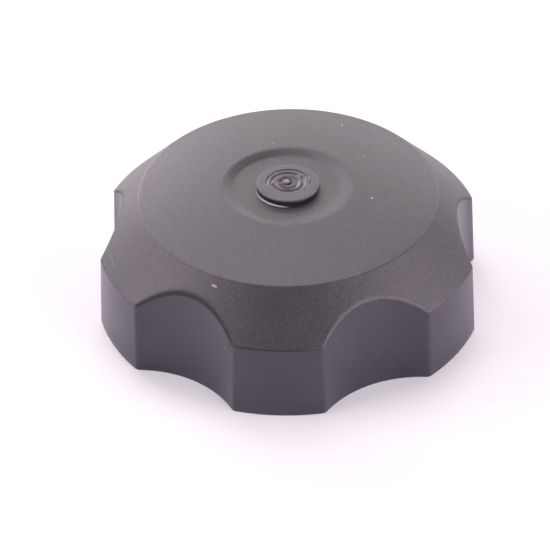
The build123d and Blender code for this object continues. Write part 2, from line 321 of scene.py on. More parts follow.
# A scratch: 1 on the straight line from Start to End, 0 at Width from it, and broken up by noise.
# The nearest point of the line is Start + t (End - Start), with t the shared length, clamped to 0...1.
def makeScratchGroup():
    tree, given, made = newGroup(
        "markScratch",
        [("Start", vectorSocket, (0, 0, 0)), ("End", vectorSocket, (0, 0, 0)),
         ("Width", floatSocket, 0.0002)],
        [("Mask", floatSocket)],
    )
    place = surfacePlace(tree)
    along = vectorMaths(tree, "SUBTRACT", given.outputs["End"], given.outputs["Start"])
    fromStart = vectorMaths(tree, "SUBTRACT", place, given.outputs["Start"])
    share = maths(
        tree, "DIVIDE",
        vectorMaths(tree, "DOT_PRODUCT", fromStart, along),
        vectorMaths(tree, "DOT_PRODUCT", along, along),
    )
    inside = node(tree, "ShaderNodeClamp")
    link(tree, share, inside.inputs["Value"])
    scaled = node(tree, "ShaderNodeVectorMath", operation="SCALE")
    link(tree, along, scaled.inputs[0])
    link(tree, inside.outputs[0], scaled.inputs["Scale"])
    away = vectorMaths(tree, "DISTANCE", fromStart, scaled.outputs[0])
    line = smoothStep(tree, away, 0.0, given.outputs["Width"], 1.0, 0.0)
    broken = node(tree, "ShaderNodeTexNoise", Scale=scratchBreaks["scale"], Detail=2.0)
    link(tree, place, broken.inputs["Vector"])
    gaps = smoothStep(tree, broken.outputs["Fac"], scratchBreaks["low"], scratchBreaks["high"])
    link(tree, maths(tree, "MULTIPLY", line, gaps), made.inputs["Mask"])
    return tree


rubLook = {"tilts": (0.4, 1.9), "stretch": (1, 9, 3), "crests": (0.66, 0.8)}


# Hair-fine rubs on a handled face: thin crests of stretched noise. Tilt turns them about Z
def makeRubGroup():
    tree, given, made = newGroup(
        "handlingRubs",
        [("Size", floatSocket, 4.0), ("Amount", floatSocket, 0.5)],
        [("Mask", floatSocket)],
    )
    place = surfacePlace(tree)
    masks = []
    for tilt in rubLook["tilts"]:
        turned = node(tree, "ShaderNodeMapping")
        turned.inputs["Rotation"].default_value = (0, 0, tilt)
        turned.inputs["Scale"].default_value = rubLook["stretch"]
        link(tree, place, turned.inputs["Vector"])
        noise = node(tree, "ShaderNodeTexNoise", Detail=4.0, Roughness=0.6)
        link(tree, turned.outputs["Vector"], noise.inputs["Vector"])
        link(tree, maths(tree, "DIVIDE", 1 / mm, given.outputs["Size"]), noise.inputs["Scale"])
        masks.append(smoothStep(tree, noise.outputs["Fac"], *rubLook["crests"]))
    either = maths(tree, "MAXIMUM", *masks)
    link(tree, maths(tree, "MULTIPLY", either, given.outputs["Amount"]), made.inputs["Mask"])
    return tree


groups = {
    "grain": makeGrainGroup(),
    "spot": makeSpotGroup(),
    "scratch": makeScratchGroup(),
    "rubs": makeRubGroup(),
}
print("shader groups made:", ", ".join(groups))


def placeGroup(tree, key, **values):
    made = node(tree, "ShaderNodeGroup", node_tree=groups[key])
    for label, value in values.items():
        made.inputs[label.replace("_", " ")].default_value = value
    return made


# A Principled material whose plain numbers sit on the shader's own sockets
def newFinish(name, **values):
    material = bpy.data.materials.new(name)
    material.use_nodes = True
    tree = material.node_tree
    shader = tree.nodes["Principled BSDF"]
    for label, value in values.items():
        shader.inputs[label.replace("_", " ")].default_value = value
    return material, tree, shader


# Relief of the surface, with its height in millimetres
def addBump(tree, shader, height):
    bump = node(tree, "ShaderNodeBump", Strength=1.0, Distance=mm)
    link(tree, height, bump.inputs["Height"])
    link(tree, bump.outputs["Normal"], shader.inputs["Normal"])


blackTint = (1, 0.93, 0.985, 1)        # what both blacks do to the colour of their gloss

# Moulded black of the cap shell
mouldedBlack = {
    # The walls' colours are lighter and bluer than the slope's and the top's: painted reflection of the
    # floor and painted side light. Roughness, relief and speckle per face follow the mould's finish.
    "wall": {"dark": (0.020, 0.0165, 0.028), "light": (0.039, 0.034, 0.051), "roughness": 0.29,
             "relief": 0.005, "speckle": 1.2},
    "slope": {"dark": (0.003, 0.0025, 0.0032), "light": (0.025, 0.0215, 0.0255), "roughness": 0.50,
              "relief": 0.09, "speckle": 5.2},
    "top": {"dark": (0.002, 0.0015, 0.002), "light": (0.022, 0.019, 0.023), "roughness": 0.43,
            "relief": 0.05, "speckle": 5.0},
    "grainSize": 0.26,
    "cloudSize": 7.0,
    "cloudTone": 0.8,
    "cloudRoughness": 0.10,
    "shadeAndGrimeRoughness": 0.4,
    "slantFrom": (0.08, 0.22),
    "levelFrom": (0.8, 0.95),
    "rubSize": 5.0,
    "rubAmount": 0.06,
    "glintShare": 0.9,
    "dust": (0.33, 0.31, 0.34),
    # shadeAndGrime is the near-black of real dark pits and of painted shade: along edges, under the rivet's
    # head and in the dish's slope
    "shadeAndGrime": (0.004, 0.0035, 0.004),
    "flashGlint": (0.72, 0.69, 0.74),
}
# Light specks: place in millimetres, radius and strength
shellSpecks = [
    ((9.41, 22.37, 24.07), 0.26, 0.85),
    ((16.11, -3.19, 24.96), 0.30, 0.9),
    ((-3.79, 14.18, 25.11), 0.22, 0.45),
    ((-9.43, -5.27, 24.89), 0.22, 0.5),
    ((14.15, 10.76, 24.83), 0.2, 0.35),
    ((12.81, 10.19, 24.96), 0.2, 0.35),
    ((-9.88, -34.03, 12.67), 0.24, 0.8),
    ((-12.35, -27.35, 22.15), 0.26, 0.9),
    ((-12.02, -27.58, 22.1), 0.28, 1.0),
    ((-11.7, -27.75, 22.08), 0.24, 0.8),
]
darkSpecks = [
    ((-28.15, -11.97, 21.6), 0.35, 0.6),
    ((-25.11, -17.64, 21.52), 0.32, 0.5),
]
# Painted shadow lines on the shoulder's edge: start, end, width and strength
darkLines = [
    ((-8.9, -36.1, 15.0), (-4.2, -36.95, 15.0), 0.3, 0.8),
    ((-4.2, -36.95, 15.0), (0.9, -37.15, 15.0), 0.26, 0.6),
]
# Light scratches: start, end, width and strength
shellScratches = [
    ((-33.42, -11.74, 16.76), (-32.28, -15.13, 16.54), 0.14, 0.35),
    ((10.21, 17.09, 24.6), (13.95, 17.25, 24.34), 0.35, 0.08),
    ((13.95, 17.25, 24.34), (17.73, 15.57, 24.16), 0.35, 0.08),
    ((3.3, -12.57, 25.23), (3.61, -18.64, 24.7), 0.3, 0.05),
]


# How far a face looks up at a slant, and how far straight up, from its normal's height
def faceShares(tree):
    facing = node(tree, "ShaderNodeSeparateXYZ")
    link(tree, node(tree, "ShaderNodeTexCoord").outputs["Normal"], facing.inputs[0])
    limits = (mouldedBlack["slantFrom"], mouldedBlack["levelFrom"])
    return [smoothStep(tree, facing.outputs["Z"], *pair) for pair in limits]


def greatest(tree, masks):
    total = masks[0]
    for mask in masks[1:]:
        total = maths(tree, "MAXIMUM", total, mask)
    return total


def scaledPlace(place):
    return [value * mm for value in place]


def spotMasks(tree, spots):
    masks = []
    for place, radius, strength in spots:
        spot = placeGroup(tree, "spot", Place=scaledPlace(place), Radius=radius * mm)
        masks.append(maths(tree, "MULTIPLY", spot.outputs["Mask"], strength))
    return masks


def scratchMasks(tree, scratches):
    masks = []
    for start, end, width, strength in scratches:
        scratch = placeGroup(
            tree, "scratch", Start=scaledPlace(start), End=scaledPlace(end), Width=width * mm)
        masks.append(maths(tree, "MULTIPLY", scratch.outputs["Mask"], strength))
    return masks


def makeMouldedBlack():
    look = mouldedBlack
    faces = [look["wall"], look["slope"], look["top"]]
    material, tree, shader = newFinish("mouldedBlack", IOR=1.6, Specular_Tint=blackTint)
    grain = placeGroup(tree, "grain", Size=look["grainSize"], Cloud_Size=look["cloudSize"])
    risen, level = faceShares(tree)
    shares = [maths(tree, "SUBTRACT", 1.0, risen), maths(tree, "SUBTRACT", risen, level), level]

    def byFace(key):
        return weighted(tree, *[(share, face[key]) for share, face in zip(shares, faces)])

    speckle, drift = aboutZero(tree, grain.outputs["Tone"]), aboutZero(tree, grain.outputs["Cloud"])
    toned = weighted(tree, (speckle, byFace("speckle")), (drift, look["cloudTone"]))
    tone = maths(tree, "ADD", toned, 0.5)
    # Colour by facing: the walls' lighter, bluer tones are painted reflection and painted side light
    wall, slope, top = [mixColours(tree, tone, face["dark"], face["light"]) for face in faces]
    colour = mixColours(tree, level, mixColours(tree, risen, wall, slope), top)
    rubs = placeGroup(tree, "rubs", Size=look["rubSize"], Amount=look["rubAmount"])
    pale = spotMasks(tree, shellSpecks) + scratchMasks(tree, shellScratches)
    pale.append(maths(tree, "MULTIPLY", rubs.outputs["Mask"], level))
    colour = mixColours(tree, greatest(tree, pale), colour, look["dust"])
    # Darkens real dark pits, the painted shadow lines on the shoulder, and painted shade where the hollow
    # tone marks edges, the floor under the head and the dish's slope
    dark = spotMasks(tree, darkSpecks) + scratchMasks(tree, darkLines)
    dark.append(meshTone(tree, "hollow"))
    dulled = greatest(tree, dark)
    colour = mixColours(tree, dulled, colour, look["shadeAndGrime"])
    # Painted highlight on the flash bead
    gleam = maths(tree, "MULTIPLY", meshTone(tree, "gleam"), look["glintShare"])
    colour = mixColours(tree, gleam, colour, look["flashGlint"])
    link(tree, colour, shader.inputs["Base Color"])
    roughened = weighted(tree, (drift, look["cloudRoughness"]), (dulled, look["shadeAndGrimeRoughness"]))
    link(tree, maths(tree, "ADD", byFace("roughness"), roughened), shader.inputs["Roughness"])
    addBump(tree, shader, maths(tree, "MULTIPLY", grain.outputs["Height"], byFace("relief")))
    return material


# Satin black of the rivet, with the fine rings of its turned mould
rivetBlack = {
    "dark": (0.038, 0.033, 0.039),
    "light": (0.070, 0.062, 0.072),
    # On the rivet, shadeAndGrime is painted shade in the rings' grooves and under the rim, and pipGlint is
    # a painted highlight on the pip
    "shadeAndGrime": (0.004, 0.0035, 0.004),
    "pipGlint": (0.30, 0.27, 0.31),
    "roughness": 0.42,
    "ringSpacing": 0.16,
    "ringRelief": 0.004,
    "grainSize": 0.18,
    "grainTone": 0.9,
    "grainRelief": 0.02,
    "cloudSize": 2.2,
    "cloudTone": 1.6,
    "cloudRoughness": 0.3,
    "shadeShare": 0.85,
}


def makeRivetBlack():
    look = rivetBlack
    material, tree, shader = newFinish("rivetBlack", IOR=1.5, Specular_Tint=blackTint)
    grain = placeGroup(tree, "grain", Size=look["grainSize"], Cloud_Size=look["cloudSize"])
    flat = vectorMaths(tree, "MULTIPLY", surfacePlace(tree), (1, 1, 0))
    away = vectorMaths(tree, "LENGTH", flat)
    rings = maths(tree, "SINE", maths(tree, "MULTIPLY", away, fullTurn / (look["ringSpacing"] * mm)))
    speckle, drift = aboutZero(tree, grain.outputs["Tone"]), aboutZero(tree, grain.outputs["Cloud"])
    toned = weighted(tree, (speckle, look["grainTone"]), (drift, look["cloudTone"]))
    colour = mixColours(tree, maths(tree, "ADD", toned, 0.5), look["dark"], look["light"])
    # Painted shade in the grooves and under the rim, then a painted highlight on the pip
    hollow = maths(tree, "MULTIPLY", meshTone(tree, "hollow"), look["shadeShare"])
    colour = mixColours(tree, hollow, colour, look["shadeAndGrime"])
    colour = mixColours(tree, meshTone(tree, "gleam"), colour, look["pipGlint"])
    link(tree, colour, shader.inputs["Base Color"])
    uneven = maths(tree, "MULTIPLY", drift, look["cloudRoughness"])
    link(tree, maths(tree, "ADD", look["roughness"], uneven), shader.inputs["Roughness"])
    relief = weighted(tree, (rings, look["ringRelief"]), (grain.outputs["Height"], look["grainRelief"]))
    addBump(tree, shader, relief)
    return material


# Plainer finishes of the inner pieces: two tones, a grain and a roughness that drifts
innerFinishes = {
    "inner_plastic": {"dark": (0.50, 0.47, 0.40), "light": (0.62, 0.59, 0.52), "roughness": 0.42,
                      "grain": 0.5, "relief": 0.008, "metal": 0.0},
    "valve_plastic": {"dark": (0.030, 0.030, 0.032), "light": (0.050, 0.050, 0.053), "roughness": 0.38,
                      "grain": 0.3, "relief": 0.008, "metal": 0.0},
    "slip_plastic": {"dark": (0.62, 0.62, 0.60), "light": (0.72, 0.72, 0.70), "roughness": 0.3,
                     "grain": 0.3, "relief": 0.004, "metal": 0.0},
    "gasket_rubber": {"dark": (0.017, 0.017, 0.018), "light": (0.032, 0.032, 0.033), "roughness": 0.62,
                      "grain": 0.2, "relief": 0.02, "metal": 0.0},
    "foam": {"dark": (0.05, 0.05, 0.055), "light": (0.16, 0.16, 0.17), "roughness": 0.95,
             "grain": 0.7, "relief": 0.4, "metal": 0.0},
    "zinc_steel": {"dark": (0.50, 0.50, 0.49), "light": (0.66, 0.66, 0.67), "roughness": 0.3,
                   "grain": 0.25, "relief": 0.006, "metal": 1.0},
    "spring_steel": {"dark": (0.36, 0.35, 0.34), "light": (0.48, 0.47, 0.46), "roughness": 0.32,
                     "grain": 0.25, "relief": 0.005, "metal": 1.0},
    "ball_steel": {"dark": (0.62, 0.62, 0.63), "light": (0.70, 0.70, 0.71), "roughness": 0.14,
                   "grain": 0.3, "relief": 0.001, "metal": 1.0},
}
innerDrift = 0.25        # how far the roughness drifts


def makeInnerFinish(slotName):
    look = innerFinishes[slotName]
    material, tree, shader = newFinish(slotName, Metallic=look["metal"], IOR=1.48)
    grain = placeGroup(tree, "grain", Size=look["grain"], Cloud_Size=4.0, Contrast=1.2)
    tone = weighted(tree, (grain.outputs["Tone"], 0.5), (grain.outputs["Cloud"], 0.5))
    link(tree, mixColours(tree, tone, look["dark"], look["light"]), shader.inputs["Base Color"])
    uneven = maths(tree, "MULTIPLY", aboutZero(tree, grain.outputs["Cloud"]), innerDrift)
    link(tree, maths(tree, "ADD", look["roughness"], uneven), shader.inputs["Roughness"])
    addBump(tree, shader, maths(tree, "MULTIPLY", grain.outputs["Height"], look["relief"]))
    return material


finishes = {"moulded_black": makeMouldedBlack(), "rivet_black": makeRivetBlack()}
for slotName in innerFinishes:
    finishes[slotName] = makeInnerFinish(slotName)
print("finishes made:", ", ".join(finishes))

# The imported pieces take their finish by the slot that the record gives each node
nodeSlots = {
    "rivet_washer": "zinc_steel", "disc_spring": "spring_steel", "slip_disc": "slip_plastic",
    "seal_carrier": "inner_plastic", "neck_gasket": "gasket_rubber", "breather_foam": "foam",
    "retainer_plate": "inner_plastic", "valve_housing": "valve_plastic", "valve_seat": "gasket_rubber",
    "valve_cover": "valve_plastic", "rollover_ball": "ball_steel",
    "plate_screw_1": "zinc_steel", "plate_screw_2": "zinc_steel", "plate_screw_3": "zinc_steel",
}
for nodeName, slotName in nodeSlots.items():
    nodes[nodeName].data.materials.clear()
    nodes[nodeName].data.materials.append(finishes[slotName])


# Cap shell skin
skin = {
    "lobes": 6,
    "rimRadius": 38.0,
    "draft": 3.1,
    "shoulderHeight": 15.0,
    "crownRadius": 28.8,
    "crownHeight": 23.4,
    "crownRise": 2.3,
    "dishRadius": 12.6,
    "dishFloorRadius": 10.3,
    "dishUneven": 0.6,
    "dishDip": 0.2,
    "dipToward": 142.0,
    "dipShade": 0.25,
    "headClear": 6.7,
    "slopeFoot": 0.04,
    "slopeLip": 0.15,
    "dishDepth": 0.6,
    "padHeight": 0.25,
    "padRadius": 4.58,
    "stemHole": 3.28,
    "wall": 2.6,
    "scallopDepth": 4.75,
    "scallopRadius": 21.05,
    "scallopDraft": 2.55,
    "cornerBlend": 0.55,
    "shoulderRound": 0.6,
    "crownRound": 0.55,
    "rimRound": 0.3,
    "bossRadius": 6.38,
    "bossLow": 20.65,
    "bearingRing": (22.4, 19.8, 20.4),
    "columnsPerLobe": 96,
    "edgeRound": 0.15,
    "stemChamfer": 0.45,
}
# Rows of points on the skin, in millimetres: where the fine rows start and end, steps along the runs,
# radii under the dish, and (first, last, count) for the radii over it
skinRows = {
    "domeEdge": 25.2,
    "crownLead": 0.8,
    "fineTop": 20.4,
    "steps": {"upper": 0.6, "middle": 0.155, "lower": 1.9, "inner": 3.0},
    "innerSupport": 0.4,
    "underDome": 25.5,
    "underDish": (15.0, 12.6, 11.4, 10.2),
    "besidePad": 5.2,
    "overDish": ((5.6, 6.7, 17), (7.6, 8.6, 2), (9.4, 13.2, 23), (14.0, 24.8, 8)),
}
# How the columns crowd at a scallop's corners, in degrees: plain, across the scallop, and at its corner
skinCrowd = {"corner": 17.0, "plain": 0.45, "scallop": 0.6, "peak": 3.2, "width": 1.3}
scallopCentre = skin["rimRadius"] - skin["scallopDepth"] + skin["scallopRadius"]
domeRadius = (skin["crownRadius"] ** 2 + skin["crownRise"] ** 2) / (2 * skin["crownRise"])
shoulderRadius = skin["rimRadius"] - skin["shoulderHeight"] * math.tan(math.radians(skin["draft"]))


# Height of the dome: a sphere of domeRadius that passes through the crown's edge
def domeHeight(radius):
    top = skin["crownHeight"] + skin["crownRise"]
    return top - domeRadius + np.sqrt(domeRadius ** 2 - radius ** 2)


dishFloor = domeHeight(skin["dishRadius"]) - skin["dishDepth"]


# Height of the top. The dish's floor dips a little toward one side, and a straight slope, softened where
# it starts and more where it ends, climbs from the floor to the dome
def topHeight(radius, angle=0.0):
    toward = np.cos(angle - math.radians(skin["dipToward"]))
    floorRadius = skin["dishFloorRadius"] + skin["dishUneven"] * toward
    dipShare = np.clip((radius - skin["headClear"]) / (floorRadius - skin["headClear"]), 0, 1)
    floor = dishFloor - skin["dishDip"] * toward * dipShare
    dome = domeHeight(radius)
    climb = skin["dishDepth"] + skin["dishDip"] * toward
    slope = floor + (radius - floorRadius) * climb / (skin["dishRadius"] - floorRadius)
    return softMin(-softMin(-floor, -slope, skin["slopeFoot"]), dome, skin["slopeLip"])


# Painted shade in the dish's slope, on the side where the floor dips
def slopeShade(radius, angle):
    toward = np.cos(angle - math.radians(skin["dipToward"]))
    floorRadius = skin["dishFloorRadius"] + skin["dishUneven"] * toward
    fromFloor = easeBetween(radius - floorRadius, -0.15, 0.25)
    fromLip = easeBetween(skin["dishRadius"] - radius, -0.1, 0.7)
    return skin["dipShade"] * (fromFloor * fromLip) * easeBetween(toward, -0.2, 0.5)


# Radius of the scallops' walls at an angle and a height: the near side of a circle about scallopCentre,
# C cos(a) - sqrt(R^2 - C^2 sin^2(a)), with a the angle from the nearest scallop and R growing with height
def scallopWall(angle, height, extra):
    sector = fullTurn / skin["lobes"]
    away = (angle - math.radians(-60) + sector / 2) % sector - sector / 2
    reach = skin["scallopRadius"] + height * math.tan(math.radians(skin["scallopDraft"])) + extra
    under = reach ** 2 - (scallopCentre * np.sin(away)) ** 2
    return scallopCentre * np.cos(away) - np.sqrt(np.maximum(under, 0))


# Height of the underside, one wall below the top
def underTop(radius):
    return float(topHeight(np.float64(radius))) - skin["wall"]


# The corner of two runs, each moved inward by distance: corner + d (n1 + n2) / (1 + n1.n2)
def insetCorner(before, corner, after, distance):
    before, corner, after = (np.array(point, float) for point in (before, corner, after))
    normals = []
    for side in (corner - before, after - corner):
        normals.append(np.array([side[1], -side[0]]) / np.linalg.norm(side))
    return corner + distance * (normals[0] + normals[1]) / (1 + normals[0] @ normals[1])


# Angles of the columns: closer together at the two corners of each scallop, and widest on the lobes
def skinColumns():
    corner = skinCrowd["corner"]
    across = np.linspace(-30, 30, 4001)
    crowd = skinCrowd["plain"] + skinCrowd["scallop"] * (np.abs(across) < corner + 0.6)
    crowd = crowd + skinCrowd["peak"] * np.exp(-(((np.abs(across) - corner) / skinCrowd["width"]) ** 2))
    total = np.concatenate([[0], np.cumsum((crowd[1:] + crowd[:-1]) / 2)])
    steps = np.arange(skin["columnsPerLobe"]) / skin["columnsPerLobe"] * total[-1]
    sector = np.interp(steps, total, across)
    middles = np.array(evenAngles(skin["lobes"], -60.0))
    return np.radians((middles[:, None] + sector[None, :]).reshape(-1))


# Painted shade along the arch of one scallop, and along the shoulder of the lobe beside it
shadeAndGrime = {
    "arch": -120.0,
    "archWidth": 0.9,
    "archShade": 0.95,
    "archReach": 28,
    "lobe": (-104.0, -100.0, -86.0, -74.0),
    "shoulderWidth": 0.36,
    "shoulderShade": 0.95,
}


# The arch is where the blank and the scallop's wall have nearly the same radius, above the shoulder
def paintedEdgeShade(blank, angle, height):
    degrees = np.degrees((angle + math.pi) % fullTurn) - 180
    near = np.abs(blank - scallopWall(angle, height, 0))
    aboveShoulder = easeBetween(height, skin["shoulderHeight"] - 0.6, skin["shoulderHeight"] + 0.4)
    onArch = np.abs(degrees - shadeAndGrime["arch"]) < shadeAndGrime["archReach"]
    arch = easeBetween(-near, -shadeAndGrime["archWidth"], 0) * aboveShoulder * onArch
    start, full, fading, end = shadeAndGrime["lobe"]
    along = easeBetween(degrees, start, full) * easeBetween(-degrees, -end, -fading)
    onLobe = blank < scallopWall(angle, height, 0)
    away = np.abs(height - skin["shoulderHeight"])
    shoulder = easeBetween(-away, -shadeAndGrime["shoulderWidth"], 0) * along * onLobe
    return np.maximum(arch * shadeAndGrime["archShade"], shoulder * shadeAndGrime["shoulderShade"])


# A thread of moulding flash on the dish's floor, in front of the rivet's head. Its pale colour is a painted
# highlight
bead = {
    "angles": (-176, -150, -138, -125, -112, -97, -84),
    "radii": (6.16, 6.16, 6.16, 6.18, 6.20, 6.22, 6.24),
    "share": (0.0, 0.35, 0.75, 1.0, 1.0, 0.7, 0.0),
    "halfWidth": 0.33,
    "height": 0.17,
    "shadeRadius": 6.12,
    "shadeAngles": (-180, -165, -70, -40, 0, 30, 150, 180),
    "shade": (0.5, 1.0, 1.0, 0.5, 0.25, 0.1, 0.1, 0.5),
}


# 1 on the crest of the flash, 0 beside it: a bell across its path, whose height changes along it
def beadHeight(radius, angle):
    degrees = (np.degrees(angle) + 180) % 360 - 180
    path = np.interp(degrees, bead["angles"], bead["radii"])
    along = np.interp(degrees, bead["angles"], bead["share"])
    return along * easeBetween(-np.abs(radius - path), -bead["halfWidth"], 0)


# Painted shade on the dish's floor under the head's edge, deepest in front of it
def underHeadShade(radius, angle):
    degrees = (np.degrees(angle) + 180) % 360 - 180
    along = np.interp(degrees, bead["shadeAngles"], bead["shade"])
    return along * easeBetween(-radius, -bead["shadeRadius"], 0.25 - bead["shadeRadius"])


def makeCapSkin():
    wall, crownHeight, crownRadius = skin["wall"], skin["crownHeight"], skin["crownRadius"]
    shoulder = (shoulderRadius, skin["shoulderHeight"])
    crown, rim = (crownRadius, crownHeight), (skin["rimRadius"], 0.0)
    nearCrown = (crownRadius - skinRows["crownLead"], domeHeight(crownRadius - skinRows["crownLead"]))
    slope = (shoulder[0] - crown[0]) / (crown[1] - shoulder[1])

    # Outside, from the dome's outer part down to the rim
    domeEdge, fineTop, steps = skinRows["domeEdge"], skinRows["fineTop"], skinRows["steps"]
    outer = roundedPath([
        (domeEdge, domeHeight(domeEdge), 0), (*nearCrown, 0), (*crown, skin["crownRound"]),
        (crown[0] + (crown[1] - fineTop) * slope, fineTop, 0),
        (*shoulder, skin["shoulderRound"]), (*rim, 0),
    ], arcSteps=7)
    fine = (outer[:, 1] <= fineTop + 0.001) & (outer[:, 1] > skin["shoulderHeight"] - 0.2)
    first, last = np.flatnonzero(fine)[[0, -1]]
    upper = filledPath(outer[: first + 1], steps["upper"])
    middle = filledPath(outer[first: last + 1], steps["middle"])
    lower = filledPath(outer[last:], steps["lower"])
    outer = np.concatenate([upper[:-1], middle[:-1], lower])
    outer = outer[outer[:, 1] > skin["rimRound"] + 0.02]

    # Rim: quarter arcs that draw the wall in as they drop to the resting face
    turn = np.linspace(0, math.pi / 2, 7)
    rimDrop = skin["rimRound"] * (1 - np.sin(turn))
    rimInset = skin["rimRound"] * (1 - np.cos(turn))
    columns = skinColumns()[None, :]

    def outsideRadius(radius, height):
        return softMin(radius[:, None], scallopWall(columns, height[:, None], 0), skin["cornerBlend"])

    outerGrid = polarPoints(outsideRadius(outer[:, 0], outer[:, 1]), columns, outer[:, 1:])
    edgeShade = paintedEdgeShade(outer[:, :1], columns, outer[:, 1:])
    rimBlank = np.full(len(turn), skin["rimRadius"])
    rimRadius = outsideRadius(rimBlank, rimDrop) - rimInset[:, None]
    rimGrid = polarPoints(rimRadius, columns, rimDrop[:, None])
    denseGrid = np.concatenate([outerGrid, rimGrid])

    # Inside, from the rim up the skirt, under the crown and in to the stem hole, then out over the pad
    innerRim = (skin["rimRadius"] - wall / math.cos(math.radians(skin["draft"])), 0.0)
    innerShoulder = insetCorner(crown, shoulder, rim, wall)
    innerCrown = insetCorner(nearCrown, crown, shoulder, wall)
    ringOut, ringIn, ringLow = skin["bearingRing"]
    boss, stem, bossLow = skin["bossRadius"], skin["stemHole"], skin["bossLow"]
    padTop, padRadius = dishFloor + skin["padHeight"], skin["padRadius"]
    edge, chamfer, underDome = skin["edgeRound"], skin["stemChamfer"], skinRows["underDome"]
    inner = roundedPath([
        (innerRim[0], edge, 0), (*innerShoulder, 1.0), (*innerCrown, 1.5),
        (underDome, underTop(underDome), 0), (ringOut, underTop(ringOut), 0.3), (ringOut, ringLow, edge),
        (ringIn, ringLow, edge), (ringIn, underTop(ringIn), 0.3),
        *((radius, underTop(radius), 0) for radius in skinRows["underDish"]),
        (boss, underTop(boss), 0.5), (boss, bossLow, edge), (stem, bossLow, 0.1),
        (stem, padTop - chamfer, 0), (stem + chamfer, padTop, 0), (padRadius, padTop, 0.1),
        (padRadius, dishFloor, 0.1), (skinRows["besidePad"], dishFloor, 0),
    ], arcSteps=3)
    inner = filledPath(inner, steps["inner"], support=skinRows["innerSupport"])
    overDish = np.concatenate([np.linspace(*rows) for rows in skinRows["overDish"]])
    centre = np.stack([overDish, topHeight(overDish)], axis=-1)
    coarse = np.concatenate([inner, centre])
    onTop = np.arange(len(coarse))[:, None] >= len(inner)
    halfColumns = columns[:, ::2]
    insideWall = scallopWall(halfColumns, coarse[:, 1:], wall)
    coarseRadius = softMin(coarse[:, :1], insideWall, skin["cornerBlend"])
    edgeTurn = np.linspace(0, math.pi / 2, 4)[:, None]
    edgeInset = edge * (1 - np.sin(edgeTurn))
    edgeDrop = edge * (1 - np.cos(edgeTurn))
    edgeBlank = softMin(innerRim[0], scallopWall(halfColumns, 0.0, wall), skin["cornerBlend"])
    edgeGrid = polarPoints(edgeBlank + edgeInset, halfColumns, edgeDrop)
    nearTop = coarse[:, 1:] > bossLow + 3
    flashGlint = beadHeight(coarse[:, :1], halfColumns) * nearTop
    coarseHeight = np.where(onTop, topHeight(coarse[:, :1], halfColumns), coarse[:, 1:])
    coarseHeight = coarseHeight + bead["height"] * flashGlint
    coarseGrid = np.concatenate([edgeGrid, polarPoints(coarseRadius, halfColumns, coarseHeight)[1:]])
    # Painted shade under the head's edge, in the dish's slope, and along the scallop's arch and the lobe's
    # shoulder; the flash bead's painted highlight goes in gleam
    shaded = underHeadShade(coarse[:, :1], halfColumns) * nearTop * (1 - flashGlint)
    shaded = np.maximum(shaded, slopeShade(coarse[:, :1], halfColumns) * onTop)
    plain = np.zeros(denseGrid.shape[0] * denseGrid.shape[1] + edgeGrid[:, :, 0].size)
    hollow = np.concatenate([plain, shaded[1:].reshape(-1)])
    hollow[:edgeShade.size] = edgeShade.reshape(-1)
    gleam = np.concatenate([plain, flashGlint[1:].reshape(-1)])

    denseIndex = np.arange(denseGrid.shape[0] * denseGrid.shape[1]).reshape(denseGrid.shape[:2])
    coarseIndex = denseIndex.size + np.arange(coarseGrid.shape[0] * coarseGrid.shape[1])
    coarseIndex = coarseIndex.reshape(coarseGrid.shape[:2])
    faces = [
        ringQuads(denseIndex[:-1], denseIndex[1:]),
        ringQuads(coarseIndex[:-1], coarseIndex[1:]),
        halvingFaces(coarseIndex[0], denseIndex[-1])[:, ::-1],
        halvingFaces(coarseIndex[-1], denseIndex[0]),
    ]
    points = np.concatenate([denseGrid.reshape(-1, 3), coarseGrid.reshape(-1, 3)])
    piece = makePiece("capSkin", points, faces, "shell", "moulded_black", hollow=hollow, gleam=gleam)
    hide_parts("cap_shell")
    print("cap skin made: rows", len(denseGrid), "and", len(coarseGrid), "points", len(points))


makeCapSkin()

# Threaded neck collar under the cap
collar = {
    "outer": 27.9,
    "crest": 23.4,
    "depth": 1.4,
    "pitch": 4.0,
    "mouth": 1.8,
    "floor": 0.8,
    "low": 1.5,
    "leadIn": 0.8,
    "threadTop": 12.23,
    "recess": 25.0,
    "top": 22.2,
    "round": 0.25,
    "leadRound": 0.1,
    "flankEase": 0.06,
    "easeShare": 0.25,
    "rowStep": 0.1,
    "plainStep": 2.0,
    "columns": 360,
}


# The thread is a helical groove: its depth at a height depends on the distance from the groove's
# middle, which climbs one pitch in a turn, and falls in a straight flank from the mouth to the floor
def threadDepth(angle, height):
    rise = (height - collar["low"] - collar["pitch"] * angle / fullTurn) / collar["pitch"]
    away = np.abs((rise + 0.5) % 1.0 - 0.5) * collar["pitch"]
    mouth, floor = collar["mouth"] / 2, collar["floor"] / 2
    eased = easeBetween(-away, -mouth - collar["flankEase"], -floor + collar["flankEase"])
    straight = np.clip((mouth - away) / (mouth - floor), 0, 1)
    return collar["depth"] * (collar["easeShare"] * eased + (1 - collar["easeShare"]) * straight)


